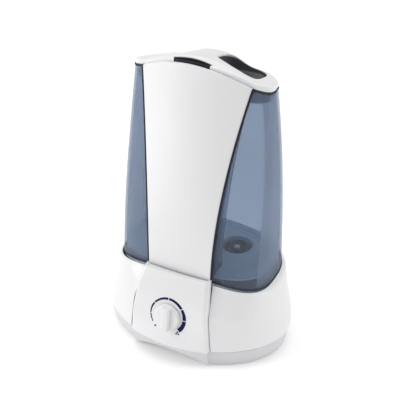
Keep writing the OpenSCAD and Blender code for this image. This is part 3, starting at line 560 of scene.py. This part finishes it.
def on_panel(x, up, lift):
    """Point of the panel's face across and up from the dial's axis, lifted off the face."""
    z = DIAL.z + up * math.cos(DIAL_TILT)
    return (x, panel_y(z) + panel_curve(z) * (x / panel_w(z)) ** 2 - lift, z)


def make_scale():
    points, faces = [], []

    def add_rows(rows):
        n, start = len(rows[0]), len(points)
        points.extend(p for row in rows for p in row)
        faces.extend((start + j * n + i, start + j * n + i + 1, start + (j + 1) * n + i + 1,
                      start + (j + 1) * n + i) for j in range(len(rows) - 1) for i in range(n - 1))

    for start, end, w0, w1 in SCALE_BAND:
        rows = []
        for t in steps(22):
            angle, width = math.radians(mix(start, end, t)), mix(w0, w1, t)
            rows.append([on_panel(r * math.cos(angle), r * math.sin(angle), 0.12)
                         for r in steps(4, SCALE_R - width, SCALE_R)])
        add_rows(rows)
    drops = [(-14.6, -16.2, 1.1)]
    for angle in (math.radians(90 + 120 * k) for k in range(3)):
        drops.append((13 + 1.5 * math.cos(angle), -17.2 + 1.5 * math.sin(angle), 1.0))
    for cx, cy, r in drops:
        add_rows([[on_panel(cx + q * r * math.cos(a), cy + q * r * math.sin(a), 0.12)
                   for a in steps(25, 0, math.tau)] for q in (0.02, 0.5, 1)])
    scale = new_piece("printed_scale", points, faces)
    thick(scale, 0.2, offset=0)
    show(scale, "base", "ink", "dial_scale")


def make_knob():
    r = (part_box("dial_knob")[1].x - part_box("dial_knob")[0].x) / 2 / MM
    skirt = [(0.01, 0.8), (r - 0.6, 0.8), (r - 0.1, 1.1), (r, 1.7)]
    skirt += bend((r - 1.1, 4.0), (r - 1.4, 5.4), (r - 3.4, 5.3), 8) + [(0.01, 5.1)]
    knob = lathe("knob_skirt", skirt)
    half, top = 4.8, 10.4
    bar = []
    for z, pinch in ((0.9, 0.0), (4.0, 0.0), (7.0, 0.2), (9.2, 0.55), (10.0, 1.0), (top, 2.2)):
        reach = r - 0.8 - pinch * 0.9
        side = [(half - pinch + 0.35 * math.sin(math.pi * v), mix(-reach, reach, v))
                for v in steps(24)]
        ring = []
        for x, y in side:
            limit = math.sqrt(max(0.1, (r - 0.75 - pinch * 0.5) ** 2 - x * x))
            ring.append((x, max(-limit, min(limit, y)), z))
        bar.append(ring + [(-x, y, z) for x, y, z in reversed(ring)])
    grip = skin("knob_grip", bar, loop=False)
    combine(knob, [grip], "UNION", sharp=28)
    turn = Matrix.Rotation(math.pi / 2 - DIAL_TILT, 4, "X")
    move = Matrix.Translation(Vector((0, DIAL.y + SHIFT_Y, DIAL.z)) * MM)
    back = Matrix.Translation(Vector((0, -SHIFT_Y * MM, 0)))
    knob.data.transform(move @ turn @ back)
    knob.name = "dial_knob_shell"
    show(knob, "dial", "shell", "dial_knob")


# ---- tank ----
TANK_FOOT_W, TANK_HEAD_W, HEAD_Z, TANK_BACK, TANK_N = 89.8, 78.3, 327.0, 64.0, 3


def tank_a(t):
    return mix(TANK_FOOT_W, TANK_HEAD_W, t) + 1.6 * math.sin(math.pi * t)


def tank_front(t):
    return -46.8 + 38.9 * max(0.0, t) ** 1.62


def tank_back(t):
    return TANK_BACK - 7 * t ** 2


def tank_mid(t):
    """Y of the widest line of the section."""
    return (tank_front(t) + TANK_BACK - 24 * t ** 3) / 2


def tank_point(t, off, angle):
    """Point of the section, which narrows a little behind its widest line."""
    across, along = spow(math.cos(angle), 2 / TANK_N), spow(math.sin(angle), 2 / TANK_N)
    taper = 0.0062 * (24 * t ** 3 - 7 * t ** 2) * max(0.0, along)
    mid = tank_mid(t)
    reach = tank_back(t) - mid if along > 0 else mid - tank_front(t)
    return (tank_a(t) - off) * across * (1 - taper), mid + along * (reach - off)


def tank_height(x, y, t):
    return (mix(RIM_Z, HEAD_Z, t) - mix(15, 14, t) * (x / tank_a(t)) ** 2
            - t * 0.5 * max(0, y - 20))


def tank_arc(t, off, w, count):
    """Sides and back of the section, from x = w round to x = -w."""
    f = math.acos((w / (tank_a(t) - off)) ** (TANK_N / 2))
    return [tank_point(t, off, v) for v in steps(count, -f, math.pi + f)]


def fascia_w(t):
    return 37.4 + 23.6 * max(0.0, t) ** 1.8


def tank_front_at(x, t, off=0.0):
    reach = tank_mid(t) - tank_front(t) - off
    share = min(1.0, abs(x) / (tank_a(t) - off))
    return tank_mid(t) - reach * (1 - share ** TANK_N) ** (1 / TANK_N)


def tank_ring(t, off):
    w, yc, r = fascia_w(t) - 2.5 + off, mix(-20, -4.5, t) + off, 3.0
    arc = tank_arc(t, off, w + 1.6, 170)
    front = tank_front_at(w, t, off)
    corner = bend(arc[-1], (-w, front), (-w, front + 1.6), 5)[1:]
    wall = [(-w, mix(corner[-1][1], yc - r, v)) for v in steps(8)[1:]]
    turn = bend(wall[-1], (-w, yc), (-w + r, yc), 6)[1:]
    left = corner + wall + turn
    flat = [(mix(-w + r, w - r, v), yc) for v in steps(14)[1:-1]]
    outline = arc + left + flat + [(-x, y) for x, y in reversed(left)]
    dense = [0.0] * len(arc) + [1.0] * len(left) + [0.3] * len(flat) + [1.0] * len(left)
    return [(x, y, tank_height(x, y, t)) for x, y in outline], dense


def make_tank():
    """Tank shell, whose mist channel walls are marked as denser plastic."""
    levels = [(t, 0) for t in steps(72)] + [(t, WALL) for t in steps(72, 1.0, 0.0)]
    made = [tank_ring(t, off) for t, off in levels]
    tank = skin("tank_shell", [ring for ring, dense in made])
    density = tank.data.attributes.new("density", "FLOAT", "POINT")
    density.data.foreach_set("value", [v for ring, dense in made for v in dense])
    show(tank, "tank", "tank", "tank_body")


def make_bead(name, node, low, high):
    """Black rubber bead round the sides and back of the tank; the one at the tank's foot is painted
    shade, standing in for the dark shadow line between tank and base.
    """
    out, half, count = 0.65, mix(low, high, 0.5), 200
    section = [(low, 0.02), (low, -out * 0.6), (mix(low, half, 0.5), -out),
               (half, -out), (mix(half, high, 0.5), -out), (high, -out * 0.6), (high, 0.02)]
    arcs = [[(x, y, tank_height(x, y, t)) for x, y in tank_arc(t, off, fascia_w(t) + 2.2, count)]
            for t, off in section]
    bead = skin(name, [list(ring) for ring in zip(*arcs)], loop=False, sharp=60)
    show(bead, "tank", "rubber_black", node)


# ---- fascia ----
FASCIA_TOP, FASCIA_DROP = 338.0, 19.5


def fascia_point(u, t, off):
    bulge = 1 + 13 * math.sin(math.radians(90 * t)) ** 1.4
    return (u * fascia_w(t), tank_front_at(fascia_w(t), t) - 2.5 - bulge * (1 - u * u) + off,
            mix(RIM_Z + 0.3, FASCIA_TOP, t) - u * u * mix(0, FASCIA_DROP, t))


def make_fascia():
    across = steps(65, -0.985, 0.985)
    thickness = 2.2
    edge = [(0.995, 0.18), (1.0, 0.7), (1.0, thickness)]
    loop = [(u, 0.0) for u in across] + edge
    loop += [(u, thickness) for u in reversed(across)] + [(-u, off) for u, off in reversed(edge)]
    rings = [[fascia_point(u, t, off) for u, off in loop] for t in steps(90)]
    fascia = skin("fascia_shell", rings, loop=False, sharp=50)
    show(fascia, "tank", "shell", "front_fascia")


def make_seal():
    points, faces, levels = [], [], 60
    section = [(0.05, 0.3), (0.5, 0.0), (1.4, 0.1), (1.9, 0.6), (1.9, 2.3), (0.05, 2.3)]
    for side in (-1, 1):
        rows = []
        for t in steps(levels):
            x, y, z = fascia_point(1, t, 0)
            rows.append([(side * (x + dx), y + dy, z) for dx, dy in section])
        start, n = len(points), len(section)
        points.extend(p for row in rows for p in row)
        faces.extend(tuple(start + v for v in face) for j in range(levels - 1)
                     for face in ring_faces(n, j * n, (j + 1) * n))
        faces.extend(tuple(range(end, end + n)) for end in (start, start + (levels - 1) * n))
    seal = new_piece("fascia_seal_beads", points, faces)
    show(seal, "tank", "dark_trim", "fascia_seal")


# ---- cap ----
RECESS_X, RECESS_Y, RECESS_W, RECESS_D, RECESS_N = 34.5, 28.0, 24.5, 19.5, 3.4
RECESS_SKEW = 0.22
SLOT_W = 42.0
END_W = 61.0
RIM_Y = 47.0
CREASE = [(-61, -7), (-37, -10.5), (-20, -8.6), (0, -6.6), (28, -4.2), (46, -2.6), (61, -3.5)]


def crest(x):
    curve, end_fall = 0.00457, 0.1
    return CREST_Z - curve * min(abs(x), END_W) ** 2 - end_fall * max(0, abs(x) - END_W)


def rear_rim(x):
    return 317.8 - 0.0018 * x * x + 8.3 * math.exp(-(x / 28) ** 4)


def cap_top(x, y):
    """The cap falls from its crest to a rear rim, then drops away behind it."""
    crest_y, drop = -3, 0.72
    share = clamp((y - crest_y) / (RIM_Y - crest_y))
    return mix(crest(x), rear_rim(x), share) - drop * max(0, y - RIM_Y)


def crease_depth(x, y):
    """Fine groove that runs along the crest behind the mist slot."""
    if abs(x) > END_W:
        return 0.0
    away = (y - through([p[0] for p in CREASE], [p[1] for p in CREASE], x)) / 0.8
    return 0.35 * math.exp(-away ** 2)


def cap_outline(off, count=288):
    outline = []
    for i in range(count):
        x, y = tank_point(1, off, math.tau * (i + 0.5) / count)
        if y < 0 and abs(x) < END_W:
            y = min(y, -2.9 - 14 * (1 - (x / END_W) ** 2) + off)
        outline.append((x, y))
    return outline


def seam_height(x, y):
    return tank_height(x, y, 1) + 0.3


def edge_height(x, y):
    if y < 0 and abs(x) < END_W:
        return FASCIA_TOP - FASCIA_DROP * (x / END_W) ** 2 + 0.4
    return min(seam_height(x, y) + 5.4 + 0.25 * max(0, y - 20), cap_top(x, y) - 1)


def recess_outline(grow):
    outline = oval_outline(RECESS_W + grow, -RECESS_D - grow, RECESS_D + grow, RECESS_N, 288)
    return [(RECESS_X + x, RECESS_Y + y + RECESS_SKEW * x * min(0, y) / RECESS_D)
            for x, y in outline]


def recess_ring(grow, drop):
    return [(x, y, cap_top(x, y) - drop) for x, y in recess_outline(grow)]


def lip_ring(grow, extra):
    """Ring below the lip of the recess, which gets thinner towards the right."""
    return [(x, y, cap_top(x, y) - mix(3, 1, smooth((x - 12) / 26)) - extra)
            for x, y in recess_outline(grow)]


def make_cap():
    outer, lip = cap_outline(0), recess_outline(0)
    rings = [[(x, y, seam_height(x, y)) for x, y in outer]]
    rings += [[(x, y, mix(seam_height(x, y), edge_height(x, y) - 1.2, k)) for x, y in outer]
              for k in (0.5, 1.0)]
    top = []
    for t in [0.02, 0.05] + steps(60, 0.08, 0.96) + [0.98, 1.0]:
        ring = []
        for (x0, y0), (x1, y1) in zip(outer, lip):
            x, y = mix(x0, x1, t), mix(y0, y1, t)
            fall = 0.8 * clamp(1 - t / 0.1) ** 2 + 0.6 * clamp((t - 0.95) / 0.05) ** 2
            ring.append((x, y, cap_top(x, y) - fall - crease_depth(x, y)))
        top.append(ring)
    rounded = [[bend(a, (a[0], a[1], edge_height(a[0], a[1])), b, 6)[k]
                for a, b in zip(rings[-1], top[0])] for k in range(1, 5)]
    rings += rounded + top
    rings += [recess_ring(-0.25, 0.9), lip_ring(-0.1, 0), lip_ring(0.6, 0.2)]
    rings.append([(x, y, edge_height(x, y) - WALL) for x, y in cap_outline(WALL + 0.4)])
    rings.append([(x, y, seam_height(x, y)) for x, y in cap_outline(WALL)])
    cap = skin("top_cap_shell", rings, sharp=50)
    slot_low, slot_high = 300, 360
    combine(cap, [prism(slot_outline(0.3, 3), slot_low, slot_high)], sharp=50)
    show(cap, "tank", "shell", "top_cap")


def slot_outline(grow, ahead=0.0):
    """Outline of the mist slot, with its front edge moved ahead."""
    w = SLOT_W / 2 + 2.2 * grow
    back = [(x, -9.8 - 2 * (x / w) ** 2 + grow) for x in steps(25, w, -w)]
    front = [(x * 0.84, -16.4 + 1.2 * (x * 0.84 / w) ** 2 - grow - ahead) for x in steps(25, -w, w)]
    return back + front


def make_nozzle():
    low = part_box("mist_nozzle")[0].z / MM

    def ring(grow, drop):
        return [(x, y, cap_top(x, y) - drop) for x, y in slot_outline(grow)]

    def flat(grow, z):
        return [(x, y, z) for x, y in slot_outline(grow)]

    rings = [flat(-0.8, low), flat(3, low), flat(3, low + 2), flat(0, low + 2.1), ring(0, 0.8),
             ring(-0.15, 0.5), ring(-0.65, 0.5), ring(-0.8, 0.8)]
    show(skin("mist_nozzle_shell", rings, sharp=50), "tank", "dark_trim", "mist_nozzle")


def make_recess():
    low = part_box("hand_recess")[0].z / MM
    floor = low + 2

    def tub(grow, z):
        return [(x, y, z) for x, y in recess_outline(grow)]

    def wall(grow, start, share):
        return [(x, y, mix(start, z, share)) for x, y, z in lip_ring(grow, 0.4)]

    rings = [tub(-3, low), tub(0.2, low + 0.6), tub(0.9, low + 2.5), wall(0.9, low + 2.5, 0.5),
             wall(0.9, low + 2.5, 1.0), wall(-0.6, floor + 1.5, 1.0), wall(-0.6, floor + 1.5, 0.5),
             tub(-0.6, floor + 1.5), tub(-1.4, floor + 0.5), tub(-3.5, floor)]
    recess = skin("hand_recess_tub", rings, loop=False, sharp=50)
    show(recess, "tank", "recess_tint", "hand_recess")


make_base()
make_panel()
make_cover()
make_scale()
make_knob()
make_tank()
make_fascia()
make_seal()
# painted shade: a black bead along the tank's foot stands in for the dark shadow line where the
# tank meets the base
make_bead("rim_shadow_bead", "rim_seal", 0.0085, 0.0145)
make_bead("cap_bead", "cap_seal", 0.9895, 0.9985)
make_cap()
make_nozzle()
make_recess()


# ---- stage ----
def make_floor():
    mesh = bpy.data.meshes.new("floor")
    size = 4.0
    corners = [(-size, -size, 0), (size, -size, 0), (size, size, 0), (-size, size, 0)]
    mesh.from_pydata(corners, [], [(0, 1, 2, 3)])
    floor = bpy.data.objects.new("floor", mesh)
    bpy.context.scene.collection.objects.link(floor)
    m = Nodes("pale_floor")
    m.join(m.blend(m.noise(3.0), (0.93, 0.93, 0.93), (0.96, 0.96, 0.96)),
           m.shader.inputs["Base Color"])
    m.shader.inputs["Roughness"].default_value = 0.8
    m.shader.inputs["Specular IOR Level"].default_value = 0.1
    m.shader.inputs["Emission Color"].default_value = (1, 1, 1, 1)
    m.shader.inputs["Emission Strength"].default_value = 0.15
    floor.data.materials.append(m.material)


def add_light(name, place, aim, size, power):
    data = bpy.data.lights.new(name, "AREA")
    data.shape = "RECTANGLE"
    data.size, data.size_y = size
    data.energy = power
    light = bpy.data.objects.new(name, data)
    light.location = place
    light.rotation_euler = (Vector(aim) - Vector(place)).to_track_quat("-Z", "Y").to_euler()
    bpy.context.scene.collection.objects.link(light)


def make_light():
    world = bpy.data.worlds.new("studio")
    world.use_nodes = True
    world.node_tree.nodes["Background"].inputs["Color"].default_value = (1, 1, 1, 1)
    world.node_tree.nodes["Background"].inputs["Strength"].default_value = 0.55
    bpy.context.scene.world = world
    aim = (0, 0, 0.17)
    add_light("left", (-1.5, -1.0, 1.0), aim, (1.0, 1.4), 18)
    add_light("right", (1.6, 0.5, 0.8), aim, (0.8, 1.2), 7)
    add_light("top", (0.0, 0.3, 1.9), aim, (1.6, 1.6), 14)
    bpy.context.scene.view_settings.view_transform = "Standard"


def make_camera():
    azimuth, elevation = math.radians(26.54), math.radians(33.78)
    distance, lens, sensor = 1.0838, 89.4, 36
    aside, below = 0.00239, 0.00308
    back = Vector((math.sin(azimuth) * math.cos(elevation),
                   -math.cos(azimuth) * math.cos(elevation), math.sin(elevation)))
    right = Vector((math.cos(azimuth), math.sin(azimuth), 0))
    up = back.cross(right)
    target = right * aside - up * below + Vector((0, SHIFT_Y * MM, 0.17))
    data = bpy.data.cameras.new("camera")
    data.sensor_width = sensor
    data.lens = lens
    camera = bpy.data.objects.new("camera", data)
    camera.matrix_world = Matrix((
        (right.x, up.x, back.x, 0), (right.y, up.y, back.y, 0), (right.z, up.z, back.z, 0),
        (0, 0, 0, 1)))
    camera.location = target + back * distance
    bpy.context.scene.collection.objects.link(camera)
    bpy.context.scene.camera = camera


make_floor()
make_light()
make_camera()
